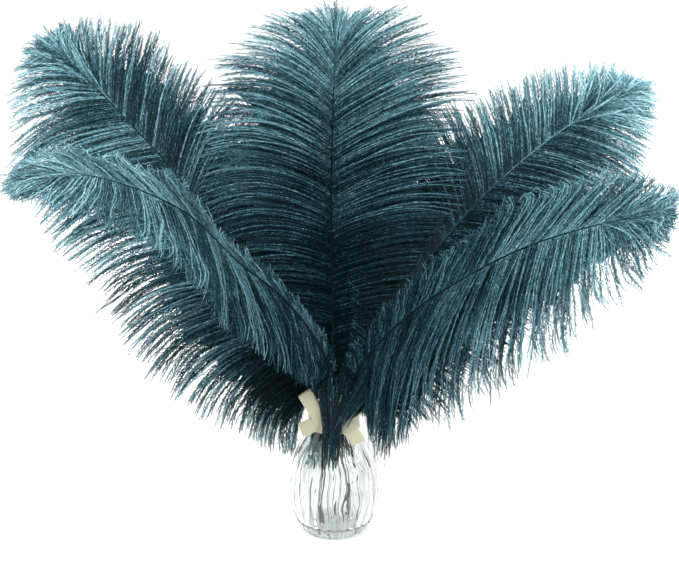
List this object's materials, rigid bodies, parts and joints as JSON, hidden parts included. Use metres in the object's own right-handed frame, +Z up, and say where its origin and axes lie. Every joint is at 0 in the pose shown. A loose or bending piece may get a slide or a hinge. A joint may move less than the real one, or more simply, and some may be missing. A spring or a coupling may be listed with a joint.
{
  "type": "ostrich feathers in a bud vase",
  "caption": "Spray of dyed ostrich plumes standing in a small ribbed clear glass bud vase, with a satin ribbon bow tied round the neck.",
  "frame": {"origin": "centre of the vase's flat foot, on the surface it stands on", "axes": "+Z up along the vase; -Y towards the viewer, the side the bow is on; +X to the viewer's right, along the spray's longest side"},
  "size_m": [0.4354, 0.2039, 0.3639],
  "materials": {
    "vase_glass": "clear pressed glass with soft upright ribs",
    "ribbon_satin": "cream woven satin",
    "plume_back_centre_keratin": "dyed feather keratin, teal",
    "plume_back_left_keratin": "dyed feather keratin, teal",
    "plume_back_right_keratin": "dyed feather keratin, teal",
    "plume_front_left_keratin": "dyed feather keratin, teal",
    "plume_front_right_keratin": "dyed feather keratin, teal"
  },
  "bodies": {
    "root": {"vase": "vase_glass", "ribbon_bow": "ribbon_satin", "plume_back_centre": "plume_back_centre_keratin", "plume_back_left": "plume_back_left_keratin", "plume_back_right": "plume_back_right_keratin", "plume_front_left": "plume_front_left_keratin", "plume_front_right": "plume_front_right_keratin"}
  },
  "joints": []
}
